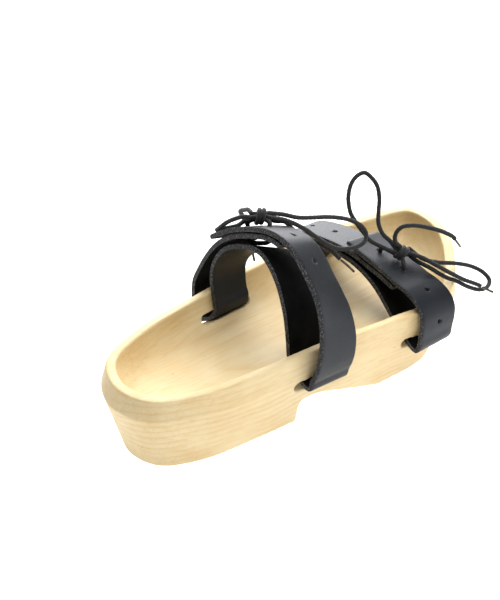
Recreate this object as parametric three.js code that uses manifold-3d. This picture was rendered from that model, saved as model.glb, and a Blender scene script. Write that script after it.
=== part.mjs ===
import * as THREE from "three";
import { mergeVertices } from "three/addons/utils/BufferGeometryUtils.js";
import Module from "manifold-3d";

// A right-foot sandal: a sole carved from one block of wood, two leather straps that pass through
// slots in its sides, and a lace tied in a bow on each strap.
// Millimetres. +Y runs from heel to toe, +X to the outer side of the foot, +Z up.
// Tables and places are measured from the heel's back (y = 0) on the floor (z = 0).

const wasm = await Module();
wasm.setup();

// Driving dimensions of the sole
const RIM_STATIONS = 88;
const TOE_END = 262;
const HEEL_FRONT = 90.5;
const ARCH_END = 152.5;
const ARCH_TOP = 16.8;
const TREAD_END = 161;
const TOE_ROCKER_RADIUS = 280;
const RIM_ROUNDING = 1;
const WALL_WIDTH = 12;
const FLOOR_SAG = 1.2;

// The rim's outer edge seen from above: heel, outer side, toe, inner side
const RIM_OUTLINE = [
  { x: 0, y: -1.5 },
  { x: 21.7, y: 5.3 },
  { x: 35.2, y: 27.9 },
  { x: 42.3, y: 64.7 },
  { x: 47.5, y: 109.2 },
  { x: 53.9, y: 154.4 },
  { x: 57.7, y: 196.3 },
  { x: 33.5, y: 233.4 },
  { x: 6.1, y: 253.5 },
  { x: -23.8, y: 254.4 },
  { x: -42.2, y: 221.7 },
  { x: -53.1, y: 179.9 },
  { x: -46, y: 129.5 },
  { x: -40.4, y: 79.8 },
  { x: -35.3, y: 37.9 },
  { x: -22.8, y: 8.1 },
];

// Heights and widths along the sole: the rim's top and width, the height of the band under it,
// how far the bottom edge is tucked in under the rim, and the floor of the footbed
const ALONG = [
  { y: 0, rimTop: 49.2, rimWidth: 5.6, band: 10.8, tuck: 5.1, floor: 33 },
  { y: 50, rimTop: 49.8, rimWidth: 5.3, band: 12, tuck: 5, floor: 31.4 },
  { y: 105, rimTop: 50.1, rimWidth: 5, band: 13.4, tuck: 4.7, floor: 30.4 },
  { y: 150, rimTop: 48.3, rimWidth: 5.2, band: 12, tuck: 4.6, floor: 28.8 },
  { y: 183, rimTop: 47.6, rimWidth: 5.6, band: 11.2, tuck: 7.6, floor: 28.4 },
  { y: 215, rimTop: 49.9, rimWidth: 6.2, band: 11.2, tuck: 11, floor: 30.8 },
  { y: 262, rimTop: 58, rimWidth: 6.8, band: 11.2, tuck: 14, floor: 39 },
];

// How far the lower edge of the band stands out past the rim, by share of the way round
const BAND_FLARE = [
  { share: 0, out: 4 },
  { share: 0.1, out: 1.9 },
  { share: 0.27, out: 0.8 },
  { share: 0.42, out: 2 },
  { share: 0.6, out: 4.2 },
  { share: 0.88, out: 1.8 },
  { share: 1, out: 4 },
];

// The line down the middle of the footbed that its floor falls towards
const SPINE = [
  { y: 45, x: 1 },
  { y: 110, x: 2 },
  { y: 165, x: 1 },
  { y: 210, x: -2 },
];

// The slots: rear end, length, and the lip on the sole's side face; side is +1 outer, -1 inner
const SLOT_HEIGHT = 6.6;
const SLOT_RISE = THREE.MathUtils.degToRad(30);
const SLOTS = {
  rearOuter: { side: 1, rear: 85, length: 37.4, x: 46.5, z: 28.2 },
  rearInner: { side: -1, rear: 80.5, length: 40, x: 43.8, z: 28.9 },
  frontOuter: { side: 1, rear: 162.5, length: 37.4, x: 56.5, z: 26.6 },
  frontInner: { side: -1, rear: 163, length: 37, x: 53.8, z: 26.6 },
};

// Leather and lace
const LEATHER = 3;
const STRAP_WIDTH = 27.5;
const SEAT_GAP = 0.45;
const LACE = 2.6;
const LACE_HOLE = 3.6;

// Each strap is one strip. Its rows run from the free end that lies on top, down the outer side,
// in through the outer slot, over the foot, out through the inner slot, up the inner side to the
// free end underneath. x, z place the strip's middle layer at its rear edge; dx, dz say how far the
// front edge is shifted from it. A row with a slot is worked out from that slot's own lip.
const REAR_STRAP = {
  base: 91,
  lean: 0.1,
  skew: 0.02,
  rows: [
    { x: -40, z: 85.2, dx: -1, dz: -7.2 },
    { x: -32, z: 91, dx: -1, dz: -8 },
    { x: -18.9, z: 98.6, dx: -1, dz: -8.5 },
    { x: -4, z: 104.7, dx: -2, dz: -9.5 },
    { x: 7.4, z: 107.6, dx: -3, dz: -10.5 },
    { x: 18.9, z: 107, dx: -3.5, dz: -11 },
    { x: 29.7, z: 101.4, dx: -4.5, dz: -11 },
    { x: 39, z: 93, dx: -5.5, dz: -10.5 },
    { x: 46.3, z: 85, dx: -6, dz: -9 },
    { x: 51, z: 75.6, dx: -4.5, dz: -7 },
    { x: 53.9, z: 64.7, dx: -2.5, dz: -5 },
    { x: 54.8, z: 55, dx: -1, dz: -3 },
    { x: 54.2, z: 45.3, dx: 0.3, dz: -2 },
    { x: 52.6, z: 38, dx: 1, dz: -1.5 },
    { x: 51.1, z: 34.4, dx: 1.2, dz: -1.9 },
    { x: 50.7, z: 30.2, dx: 0.6, dz: -2.8 },
    { x: 48.2, z: 28.6, dx: 0.2, dz: -1.9 },
    { x: 43.7, z: 30, dx: 0, dz: -0.8 },
    { slot: "rearOuter", along: 9, lift: 0.5 },
    { slot: "rearOuter", along: 13, lift: 0.6 },
    { x: 31.9, z: 40.4, dx: 0, dz: 0 },
    { x: 29.6, z: 50.5, dx: 0, dz: -2 },
    { x: 25.8, z: 64, dx: -1, dz: -5 },
    { x: 22, z: 72.8, dx: -2, dz: -7.4 },
    { x: 17.8, z: 80.3, dx: -3, dz: -9.2 },
    { x: 11.9, z: 87.1, dx: -3, dz: -10.5 },
    { x: 4.6, z: 92.1, dx: -2, dz: -11.2 },
    { x: -3.6, z: 93.3, dx: -1, dz: -11.6 },
    { x: -11.5, z: 91.1, dx: 0, dz: -12.7 },
    { x: -19.2, z: 88, dx: 0, dz: -11.8 },
    { x: -27.3, z: 82.6, dx: 0, dz: -10.4 },
    { x: -32.8, z: 75.8, dx: -0.5, dz: -8.3 },
    { x: -36.5, z: 67.2, dx: -1, dz: -6 },
    { x: -36.8, z: 58.6, dx: -1.8, dz: -3 },
    { x: -34.8, z: 50.4, dx: -2.8, dz: -1.4 },
    { x: -32.8, z: 44, dx: -3.2, dz: -0.6 },
    { x: -31.6, z: 39.6, dx: -2.2, dz: 0 },
    { slot: "rearInner", along: 10, lift: 0.3 },
    { slot: "rearInner", along: 6, lift: 0 },
    { slot: "rearInner", along: 1, lift: 0 },
    { slot: "rearInner", along: -3.4, lift: 0 },
    { slot: "rearInner", along: -6.4, lift: 1.2 },
    { x: -51, z: 33, dx: -1, dz: -0.5 },
    { x: -52.8, z: 40, dx: -1, dz: -1 },
    { x: -52.8, z: 50, dx: -0.5, dz: -2.5 },
    { x: -47.9, z: 61.8, dx: 0, dz: -5 },
    { x: -42.9, z: 71, dx: 0, dz: -6.5 },
    { x: -37.3, z: 79.3, dx: 0, dz: -7.5 },
    { x: -31.6, z: 85.6, dx: -0.3, dz: -8 },
    { x: -25.6, z: 90.2, dx: -0.6, dz: -8.2 },
    { x: -18.1, z: 94.9, dx: -1, dz: -8.6 },
    { x: -3.5, z: 100.9, dx: -2, dz: -9.5 },
    { x: 7.2, z: 103.8, dx: -3, dz: -10.4 },
    { x: 16.6, z: 103.3, dx: -3.4, dz: -10.9 },
  ],
};

const FRONT_STRAP = {
  base: 168.5,
  lean: 0.1,
  skew: 0,
  rows: [
    { x: -3.5, z: 68.4, dx: -0.5, dz: -3.5 },
    { x: 5, z: 66.2, dx: 0, dz: -3.5 },
    { x: 16.3, z: 63.8, dx: 0.5, dz: -3.5 },
    { x: 27.7, z: 61.5, dx: 1, dz: -3.2 },
    { x: 38.2, z: 58.7, dx: 0.8, dz: -2.8 },
    { x: 47.6, z: 56.6, dx: 0.7, dz: -2.2 },
    { x: 55.4, z: 52.9, dx: 1.2, dz: -1.6 },
    { x: 60.6, z: 47.1, dx: 1.4, dz: -1.2 },
    { x: 62.3, z: 39.8, dx: 1.3, dz: -1 },
    { x: 62.6, z: 32.4, dx: 0.9, dz: -0.8 },
    { x: 62.6, z: 26.8, dx: 0.9, dz: -0.6 },
    { x: 60.8, z: 23.8, dx: 0.8, dz: -0.4 },
    { slot: "frontOuter", along: -1.4, lift: 0 },
    { slot: "frontOuter", along: 4, lift: 0 },
    { slot: "frontOuter", along: 9, lift: 0 },
    { slot: "frontOuter", along: 14, lift: 0 },
    { x: 40.2, z: 36, dx: 0.5, dz: 0 },
    { x: 33.8, z: 41.6, dx: 0.5, dz: -2 },
    { x: 25, z: 48.6, dx: 0.5, dz: -4.5 },
    { x: 16.4, z: 53.3, dx: 0.5, dz: -6.5 },
    { x: 7.6, z: 56.4, dx: 0, dz: -7.5 },
    { x: -1.2, z: 58, dx: 0, dz: -8 },
    { x: -10.5, z: 58.3, dx: 0, dz: -8 },
    { x: -20.5, z: 56.4, dx: -0.5, dz: -7 },
    { x: -30, z: 51.2, dx: -0.5, dz: -5 },
    { x: -37.4, z: 43.8, dx: -0.5, dz: -2.5 },
    { x: -40, z: 38.2, dx: 0, dz: -0.6 },
    { slot: "frontInner", along: 10.8, lift: 0.3 },
    { slot: "frontInner", along: 7, lift: 0 },
    { slot: "frontInner", along: 1, lift: 0 },
    { slot: "frontInner", along: -3.4, lift: 0 },
    { slot: "frontInner", along: -6.6, lift: 1.6 },
    { x: -61.3, z: 31.5, dx: -1, dz: -0.4 },
    { x: -61.9, z: 39, dx: -1, dz: -0.8 },
    { x: -59.4, z: 47, dx: -1.2, dz: -1.6 },
    { x: -52.4, z: 54, dx: -1.2, dz: -2.4 },
    { x: -42, z: 58.4, dx: -1, dz: -3 },
    { x: -30.4, z: 60.9, dx: -0.8, dz: -3.3 },
    { x: -17, z: 62.4, dx: -0.6, dz: -3.5 },
    { x: -5, z: 62.8, dx: -0.2, dz: -3.6 },
    { x: 4.4, z: 62.2, dx: 0, dz: -3.6 },
    { x: 15.4, z: 60, dx: 0.4, dz: -3.5 },
    { x: 26.8, z: 57.7, dx: 0.9, dz: -3.2 },
    { x: 36.6, z: 54.9, dx: 1.2, dz: -2.8 },
  ],
};

// Holes punched along the middle of each strip, by their distance from its two free ends.
// The lace goes through the two that are named in LACED, through both layers.
const HOLES = {
  rear: { pitch: 19.5, fromTop: 20.9, topCount: 4, fromUnder: 23.4, underCount: 3, laced: [0, 1] },
  front: { pitch: 20, fromTop: 15.6, topCount: 4, fromUnder: 23.2, underCount: 4, laced: [0, 1] },
};

// The laces. Under the straps a lace crosses from hole to hole, and this crossing with its two legs
// is one bar. Knot, loops, ends and tips are pieces of cord that stop just short of each other.
// Routes are points chosen by hand, from the knot outwards.
const KNOT_REACH = 4.6;
const CROSSING_DEPTH = { rear: 7.9, front: 8.2 };
const TIP = 1.5;
const KNOT_SIZE = [4.5, 3.7, 3.9];
const KNOT_TURN = Math.atan2(0.758, 0.652);
const KNOTS = {
  rear: [-13.8, 110.5, 104],
  front: [25.3, 190, 67],
};
const CORDS = {
  rear_lace_loop_toe: [
    [-11.5, 115.4, 105.5], [-9.2, 123, 103], [-6, 132.4, 98.9], [-3.2, 141.5, 96.8], [-0.6, 150, 95.2],
    [2.2, 157.5, 93.2], [5, 164, 90.6], [9, 170.2, 86], [12, 171.8, 81.2], [13.6, 169, 78],
    [13.4, 164.5, 76.6], [11.8, 157, 76.8], [9.4, 150.5, 78.2], [6.2, 145, 81.6], [2.6, 139.6, 86.8],
    [-2, 133, 93.4], [-6.4, 123.5, 100], [-9.1, 113.7, 104.3],
  ],
  rear_lace_loop_inner: [
    [-16.5, 105.6, 104.2], [-20.5, 104, 103.6], [-26, 102, 100.6], [-31.5, 100, 96.4], [-36, 98.6, 91.6],
    [-39.5, 99.5, 88.6], [-41, 103.5, 87.2], [-38.5, 108, 87.4], [-34, 110, 89.8], [-28.5, 109.4, 94.4],
    [-23.4, 108, 99.2], [-18, 107.3, 101.7],
  ],
  rear_lace_end_toe: [
    [-11.6, 115.2, 101.4], [-10.4, 119.4, 99.4], [-9, 124.9, 97.6], [-6.2, 130.5, 90.6], [-1.5, 137.5, 85.2],
    [3.5, 144, 80], [7.6, 149, 75.3], [10.7, 151.9, 71],
  ],
  rear_lace_end_inner: [
    [-18.4, 107.6, 105.6], [-22.5, 109, 105.4], [-28, 111, 102.4], [-33, 112.6, 99.4], [-36.6, 115, 96],
    [-40, 121, 88.5], [-41, 125, 80], [-40.5, 126, 73], [-38.5, 125.2, 67.5],
  ],
  front_lace_loop_up: [
    [21.5, 187.5, 70.6], [18.6, 187.2, 73], [13.5, 185.1, 77], [9.5, 185.2, 82.4], [7, 187.2, 88],
    [4.1, 190.3, 95.3], [0.4, 191.7, 101.8], [-3.8, 190.7, 106.2], [-7.6, 188.4, 108.8],
    [-9.9, 184.7, 107.2], [-10.4, 180.4, 103.2], [-8.8, 176.8, 97.1], [-7.2, 175.5, 93.4],
    [-4, 174.4, 88], [-1.5, 174.7, 85], [2.6, 175.6, 80.7], [6.4, 176.8, 77], [10.2, 178, 73.6],
    [16.2, 182, 70.4], [22, 186, 67.4],
  ],
  front_lace_loop_outer: [
    [27.6, 194.8, 68.8], [34, 199.4, 63.4], [39.1, 208.4, 59.4], [44.2, 219.6, 56.6], [49.6, 228.9, 53.3],
    [55.3, 234.4, 49.4], [60.2, 235.2, 45.8], [62.7, 230.4, 43.8], [61.8, 223.6, 44.2],
    [57.4, 216.3, 47.6], [52.6, 211.4, 51.2], [48.8, 207.4, 53.2], [44.8, 203.4, 56.2], [41.6, 200.2, 59.2],
    [37.8, 197.4, 61.4], [33, 195.6, 62.8], [27.9, 194.6, 64.8],
  ],
  front_lace_end_up: [
    [24, 188.9, 71.9], [22.6, 186.8, 74.6], [22.2, 186.3, 78.5], [22.8, 187, 82], [24.6, 189.2, 85],
    [28.5, 193.7, 86], [33.7, 199.8, 84.9], [39.8, 206.8, 82.2], [44.6, 212.4, 78.5], [45.8, 213.9, 76.3],
  ],
  front_lace_end_outer: [
    [29.8, 193, 67.6], [36, 196.4, 66.2], [42, 200.8, 62.8], [49.2, 207.2, 57.6], [52.6, 210.8, 55],
    [55.7, 214.4, 52.4], [60.8, 220, 49.5], [63.3, 222.6, 47.9],
  ],
};
const TIPS = {
  rear_lace_tip_toe: [[10.9, 152.2, 70.6], [14, 155.5, 66.4], [16.8, 158.4, 62.3]],
  rear_lace_tip_inner: [[-38.3, 125.1, 67], [-36.4, 124.8, 63], [-34.6, 124.4, 59.4]],
  front_lace_tip_up: [[45.9, 214.3, 75.6], [46.2, 217, 72.4], [45.9, 220.2, 68.9]],
  front_lace_tip_outer: [[63.8, 223.1, 47.5], [66.4, 225.5, 45.6], [69, 228, 43.9]],
};

// Cubic interpolation of a column of a table, with the rows at their own spacing
function smooth(rows, at, key, value) {
  const last = rows.length - 1;
  const v = THREE.MathUtils.clamp(value, rows[0][at], rows[last][at]);
  let i = 0;
  while (i < last - 1 && v > rows[i + 1][at]) i += 1;
  const slope = (j) => {
    const a = rows[Math.max(j - 1, 0)];
    const b = rows[Math.min(j + 1, last)];
    return (b[key] - a[key]) / (b[at] - a[at]);
  };
  const span = rows[i + 1][at] - rows[i][at];
  const t = (v - rows[i][at]) / span;
  const rise = rows[i + 1][key] - rows[i][key];
  const c1 = slope(i) * span;
  const c2 = slope(i + 1) * span;
  return rows[i][key] + c1 * t + (3 * rise - 2 * c1 - c2) * t * t + (c1 + c2 - 2 * rise) * t * t * t;
}

const along = (key, y) => smooth(ALONG, "y", key, y);

function toSolid(geometry) {
  geometry.deleteAttribute("normal");
  geometry.deleteAttribute("uv");
  const merged = mergeVertices(geometry, 1e-4);
  const mesh = new wasm.Mesh({
    numProp: 3,
    vertProperties: new Float32Array(merged.attributes.position.array),
    triVerts: new Uint32Array(merged.index.array),
  });
  return new wasm.Manifold(mesh);
}

function toGeometry(solid) {
  const mesh = solid.getMesh();
  const geometry = new THREE.BufferGeometry();
  geometry.setAttribute("position", new THREE.BufferAttribute(new Float32Array(mesh.vertProperties), 3));
  geometry.setIndex(new THREE.BufferAttribute(new Uint32Array(mesh.triVerts), 1));
  geometry.computeVertexNormals();
  return geometry;
}

function geometryOf(points, index) {
  const geometry = new THREE.BufferGeometry();
  geometry.setAttribute("position", new THREE.Float32BufferAttribute(points.flatMap((p) => p.toArray()), 3));
  geometry.setIndex(index);
  return geometry;
}

// A closed body through rings of equal length, each anticlockwise seen from above, from the
// bottom cap up the outside and down into the hollow to the last cap; the caps are ladders from
// one side to the other
function skin(rings) {
  const n = rings[0].length;
  const index = [];
  rings.slice(1).forEach((_, r) => {
    for (let i = 0; i < n; i += 1) {
      const a = r * n + i;
      const b = r * n + ((i + 1) % n);
      index.push(a, b, b + n, a, b + n, a + n);
    }
  });
  const ladder = (first, turn) => {
    for (let i = 0; 2 * i + 1 < n; i += 1) {
      const [a, b, c, d] = [i, i + 1, n - i - 1, (n - i) % n].map((k) => first + k);
      if (i > 0) index.push(...(turn ? [d, c, a] : [a, c, d]));
      if (2 * i + 2 < n) index.push(...(turn ? [c, b, a] : [a, b, c]));
    }
  };
  ladder(0, true);
  ladder((rings.length - 1) * n, false);
  return geometryOf(rings.flat(), index);
}

// The rim's outline as evenly spaced points with outward normals
function rimStations() {
  const corners = RIM_OUTLINE.map((p) => new THREE.Vector3(p.x, p.y, 0));
  const curve = new THREE.CatmullRomCurve3(corners, true, "centripetal");
  curve.arcLengthDivisions = 800;
  return Array.from({ length: RIM_STATIONS }, (_, i) => {
    const share = i / RIM_STATIONS;
    const tangent = curve.getTangentAt(share);
    return { at: curve.getPointAt(share), out: new THREE.Vector3(tangent.y, -tangent.x, 0), share };
  });
}

// Height of the footbed at a distance in from the rim's inner edge: a quarter-round wall, then floor
function footbed(distance, y) {
  const floor = along("floor", y);
  const t = THREE.MathUtils.clamp(1 - distance / WALL_WIDTH, 0, 1);
  return floor + (along("rimTop", y) - RIM_ROUNDING - floor) * (1 - Math.sqrt(1 - t * t));
}

function soleBlank() {
  const stations = rimStations();
  const ring = (push, height) => stations.map((s) => {
    const p = s.at.clone().addScaledVector(s.out, push(s));
    return p.setZ(height(s, p));
  });
  const rimTop = (s) => along("rimTop", s.at.y);
  const rimWidth = (s) => along("rimWidth", s.at.y);
  const rings = [
    ring((s) => -along("tuck", s.at.y), () => 0),
    ring((s) => smooth(BAND_FLARE, "share", "out", s.share), (s) => rimTop(s) - along("band", s.at.y)),
    ring(() => 0, (s) => rimTop(s) - RIM_ROUNDING),
    ring(() => -RIM_ROUNDING, (s) => rimTop(s)),
    ring((s) => RIM_ROUNDING - rimWidth(s), (s) => rimTop(s)),
    ring((s) => -rimWidth(s), (s) => rimTop(s) - RIM_ROUNDING),
  ];
  [0.05, 0.16, 0.33, 0.6, 1].forEach((share) => {
    const distance = share * WALL_WIDTH;
    rings.push(ring((s) => -rimWidth(s) - distance, (s, p) => footbed(distance, p.y)));
  });
  const foot = rings[rings.length - 1];
  [0.5, 0.9].forEach((share) => {
    rings.push(foot.map((p) => {
      const y = THREE.MathUtils.clamp(p.y, SPINE[0].y, SPINE[SPINE.length - 1].y);
      const q = p.clone().lerp(new THREE.Vector3(smooth(SPINE, "y", "x", y), y, 0), share);
      return q.setZ(along("floor", q.y) - FLOOR_SAG * share);
    }));
  });
  return toSolid(skin(rings));
}

// A bar across the sole with the given outline in the (y, z) plane
function crossBar(outline) {
  const reach = 90;
  const geometry = new THREE.ExtrudeGeometry(new THREE.Shape(outline), { depth: 2 * reach, bevelEnabled: false });
  const turn = new THREE.Matrix4().makeBasis(
    new THREE.Vector3(0, 1, 0), new THREE.Vector3(0, 0, 1), new THREE.Vector3(1, 0, 0));
  geometry.applyMatrix4(turn);
  geometry.translate(-reach, 0, 0);
  return toSolid(geometry);
}

// What is sawn away under the arch: a steep heel front, a rounded corner and a straight slope
function archCut() {
  const below = -5;
  const corner = 4;
  const shape = new THREE.Path();
  shape.moveTo(HEEL_FRONT, below);
  shape.lineTo(HEEL_FRONT, 0);
  shape.lineTo(HEEL_FRONT + 0.6, ARCH_TOP - corner);
  shape.quadraticCurveTo(HEEL_FRONT + 0.8, ARCH_TOP, HEEL_FRONT + 1 + corner, ARCH_TOP);
  shape.lineTo(HEEL_FRONT + 9, ARCH_TOP);
  shape.quadraticCurveTo(HEEL_FRONT + 16, ARCH_TOP - 0.6, HEEL_FRONT + 22, ARCH_TOP - 3.4);
  shape.lineTo(ARCH_END - 5, 1.5);
  shape.quadraticCurveTo(ARCH_END - 1.5, 0.3, ARCH_END, 0);
  shape.lineTo(ARCH_END + 1, below);
  return crossBar(shape.getPoints(4));
}

// What is taken off under the toe: a shallow curve that lifts from the tread
function toeCut() {
  const below = -5;
  const past = TOE_END + 20;
  const steps = 12;
  const curve = Array.from({ length: steps + 1 }, (_, i) => {
    const y = TREAD_END + ((past - TREAD_END) * i) / steps;
    return new THREE.Vector2(y, (y - TREAD_END) ** 2 / (2 * TOE_ROCKER_RADIUS));
  });
  return crossBar([new THREE.Vector2(TREAD_END - 1, below), ...curve, new THREE.Vector2(past, below)]);
}

// The way through a slot, from its lip on the side face inward and up
function slotWay(slot) {
  return {
    lip: new THREE.Vector3(slot.side * slot.x, 0, slot.z),
    inward: new THREE.Vector3(-slot.side * Math.cos(SLOT_RISE), 0, Math.sin(SLOT_RISE)),
    up: new THREE.Vector3(slot.side * Math.sin(SLOT_RISE), 0, Math.cos(SLOT_RISE)),
  };
}

function slotCut(slot) {
  const half = SLOT_HEIGHT / 2;
  const run = slot.length / 2 - half;
  const shape = new THREE.Shape();
  shape.moveTo(-run, -half);
  shape.lineTo(run, -half);
  shape.absarc(run, 0, half, -Math.PI / 2, Math.PI / 2);
  shape.lineTo(-run, half);
  shape.absarc(-run, 0, half, Math.PI / 2, 1.5 * Math.PI);
  const before = 12;
  const geometry = new THREE.ExtrudeGeometry(shape, { depth: 34, bevelEnabled: false, curveSegments: 8 });
  geometry.translate(0, 0, -before);
  const way = slotWay(slot);
  const across = new THREE.Vector3().crossVectors(way.up, way.inward);
  geometry.applyMatrix4(new THREE.Matrix4().makeBasis(across, way.up, way.inward));
  geometry.translate(way.lip.x, slot.rear + slot.length / 2, way.lip.z);
  return toSolid(geometry);
}

function sole() {
  const cuts = [archCut(), toeCut(), ...Object.values(SLOTS).map(slotCut)];
  return cuts.reduce((block, cut) => block.subtract(cut), soleBlank());
}

// Rows of a strap with the slot rows worked out and the distance run so far
function strapRows(strap) {
  const rows = strap.rows.map((row) => {
    if (!row.slot) return { ...row };
    const way = slotWay(SLOTS[row.slot]);
    const seat = LEATHER / 2 + SEAT_GAP - SLOT_HEIGHT / 2 + row.lift;
    const p = way.lip.clone().addScaledVector(way.inward, row.along).addScaledVector(way.up, seat);
    return { x: p.x, z: p.z, dx: 0, dz: 0 };
  });
  rows.forEach((row, i) => {
    const before = rows[i - 1];
    row.run = i === 0 ? 0 : before.run + Math.hypot(row.x - before.x, row.z - before.z);
  });
  return rows;
}

// The strip's two edges and its outward normal at a distance along it
function strapAt(strap, rows, run) {
  const edges = (at) => {
    const [x, z, dx, dz] = ["x", "z", "dx", "dz"].map((key) => smooth(rows, "run", key, at));
    const y = strap.base + strap.lean * (z - ALONG[2].floor) + strap.skew * (x - SLOTS.rearOuter.x);
    const dy = Math.sqrt(STRAP_WIDTH ** 2 - dx ** 2 - dz ** 2);
    return [new THREE.Vector3(x, y, z), new THREE.Vector3(x + dx, y + dy, z + dz)];
  };
  const step = 0.4;
  const end = rows[rows.length - 1].run;
  const [r0, f0] = edges(Math.max(run - step, 0));
  const [r1, f1] = edges(Math.min(run + step, end));
  const [rear, front] = edges(run);
  const tangent = r1.add(f1).sub(r0).sub(f0).normalize();
  const normal = new THREE.Vector3().crossVectors(tangent, front.clone().sub(rear)).normalize();
  return { rear, front, tangent, normal, middle: rear.clone().lerp(front, 0.5) };
}

function strapRuns(rows) {
  const coarse = 4.5;
  const runs = [0];
  rows.slice(1).forEach((row, i) => {
    const length = row.run - rows[i].run;
    const parts = Math.max(2, Math.round(length / coarse));
    for (let k = 1; k <= parts; k += 1) runs.push(rows[i].run + (length * k) / parts);
  });
  return runs;
}

function strapStrip(strap, rows) {
  const half = LEATHER / 2;
  const points = strapRuns(rows).flatMap((run) => {
    const s = strapAt(strap, rows, run);
    return [
      s.rear.clone().addScaledVector(s.normal, -half),
      s.rear.clone().addScaledVector(s.normal, half),
      s.front.clone().addScaledVector(s.normal, half),
      s.front.clone().addScaledVector(s.normal, -half),
    ];
  });
  const index = [0, 1, 2, 0, 2, 3];
  const sections = points.length / 4;
  for (let k = 0; k + 1 < sections; k += 1) {
    for (let c = 0; c < 4; c += 1) {
      const a = 4 * k + c;
      const b = 4 * k + ((c + 1) % 4);
      index.push(a, a + 4, b + 4, a, b + 4, b);
    }
  }
  const e = points.length - 4;
  index.push(e, e + 2, e + 1, e, e + 3, e + 2);
  return toSolid(geometryOf(points, index));
}

function punch(place, depthAbove, depthBelow) {
  const geometry = new THREE.CylinderGeometry(LACE_HOLE / 2, LACE_HOLE / 2, depthAbove + depthBelow, 12);
  geometry.translate(0, (depthAbove - depthBelow) / 2, 0);
  const turn = new THREE.Quaternion().setFromUnitVectors(new THREE.Vector3(0, 1, 0), place.normal);
  geometry.applyQuaternion(turn);
  geometry.translate(...place.middle.toArray());
  return toSolid(geometry);
}

function strap(shape, holes) {
  const rows = strapRows(shape);
  const end = rows[rows.length - 1].run;
  const past = LEATHER + 0.6;
  const through = 2 * LEATHER + 1.6;
  let solid = strapStrip(shape, rows);
  const top = Array.from({ length: holes.topCount }, (_, i) => strapAt(shape, rows, holes.fromTop + i * holes.pitch));
  const laced = holes.laced.map((i) => top[i]);
  top.forEach((place) => {
    solid = solid.subtract(punch(place, past / 2 + 0.4, laced.includes(place) ? through : past / 2));
  });
  for (let i = 0; i < holes.underCount; i += 1) {
    const place = strapAt(shape, rows, end - holes.fromUnder - i * holes.pitch);
    const covered = laced.some((other) => other.middle.distanceTo(place.middle) < 2 * LACE_HOLE);
    if (!covered) solid = solid.subtract(punch(place, past / 2, past / 2));
  }
  return { solid, laced };
}

const vector = (p) => new THREE.Vector3(...p);

// A round cord along a curve through the points of its route
function cord(route, diameter) {
  const curve = new THREE.CatmullRomCurve3(route.map(vector), false, "centripetal");
  const round = new THREE.Shape();
  round.absarc(0, 0, diameter / 2, 0, 2 * Math.PI);
  const steps = Math.max(4, Math.round(curve.getLength() / (2 * LACE)));
  return toSolid(new THREE.ExtrudeGeometry(round, {
    steps, curveSegments: 4, bevelEnabled: false, extrudePath: curve,
  }));
}

function knot(centre) {
  const geometry = new THREE.SphereGeometry(1, 14, 10);
  geometry.scale(...KNOT_SIZE);
  geometry.rotateZ(KNOT_TURN);
  geometry.translate(...centre);
  return toSolid(geometry);
}

// The crossing under both layers with a leg up through each laced hole, bent over towards the knot.
// A leg's points are given by their rise along the hole and their shift towards the other hole.
// Depth is how far the crossing lies under the middle of the top layer.
function laceBar(laced, centre, depth) {
  const [a, b] = laced;
  const across = b.middle.clone().sub(a.middle).normalize();
  const leg = (place, toward) => {
    const at = ([rise, shift]) => place.middle.clone()
      .addScaledVector(place.normal, rise).addScaledVector(across, toward * shift);
    const points = [[4.2, 1.2], [3.2, 0.1], [1.8, 0], [-3, 0], [0.9 - depth, 0], [0.4 - depth, 1], [-depth, 2.8]].map(at);
    const knotSide = vector(centre).lerp(points[0], KNOT_REACH / vector(centre).distanceTo(points[0]));
    return [knotSide.toArray(), ...points.map((p) => p.toArray())];
  };
  return cord([...leg(a, 1), ...leg(b, -1).reverse()], LACE);
}

const WOOD = new THREE.MeshStandardMaterial({ color: 0xf0dcb0, roughness: 0.6, metalness: 0 });
const BLACK_LEATHER = new THREE.MeshStandardMaterial({ color: 0x2d3033, roughness: 0.5, metalness: 0 });
const BLACK_LACE = new THREE.MeshStandardMaterial({ color: 0x17181a, roughness: 0.85, metalness: 0 });
const LACE_TIP = new THREE.MeshStandardMaterial({ color: 0x26241f, roughness: 0.4, metalness: 0 });

const shoe = new THREE.Group();
function add(name, solid, material) {
  const mesh = new THREE.Mesh(toGeometry(solid), material);
  mesh.name = name;
  shoe.add(mesh);
  return mesh;
}

add("sole", sole(), WOOD);
const rear = strap(REAR_STRAP, HOLES.rear);
const front = strap(FRONT_STRAP, HOLES.front);
add("rear_strap", rear.solid, BLACK_LEATHER);
add("front_strap", front.solid, BLACK_LEATHER);

// The part's origin is on the floor under the middle of sole and straps, measured before the laces
const box = new THREE.Box3().setFromObject(shoe, true);
const middle = box.getCenter(new THREE.Vector3());
shoe.position.set(-middle.x, -middle.y, -box.min.z);

add("rear_lace_bar", laceBar(rear.laced, KNOTS.rear, CROSSING_DEPTH.rear), BLACK_LACE);
add("front_lace_bar", laceBar(front.laced, KNOTS.front, CROSSING_DEPTH.front), BLACK_LACE);
add("rear_lace_knot", knot(KNOTS.rear), BLACK_LACE);
add("front_lace_knot", knot(KNOTS.front), BLACK_LACE);
Object.entries(CORDS).forEach(([name, route]) => add(name, cord(route, LACE), BLACK_LACE));
Object.entries(TIPS).forEach(([name, route]) => add(name, cord(route, TIP), LACE_TIP));

const part = new THREE.Group();
part.add(shoe);

export default part;
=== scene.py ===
# %% [markdown]
# A sandal with a sole carved from one block of pale wood, two black leather straps threaded
# through slots in its sides, and a braided lace tied in a bow on each strap.
# It is a right shoe. The scene is in metres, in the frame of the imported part: +Y from heel to toe,
# +X to the outer side of the foot, +Z up. Sizes below are written in millimetres, measured from
# the heel's back on the floor as a shoemaker would, and moved to the part's origin at the end.

# %% Tools and the frame
import math

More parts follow.
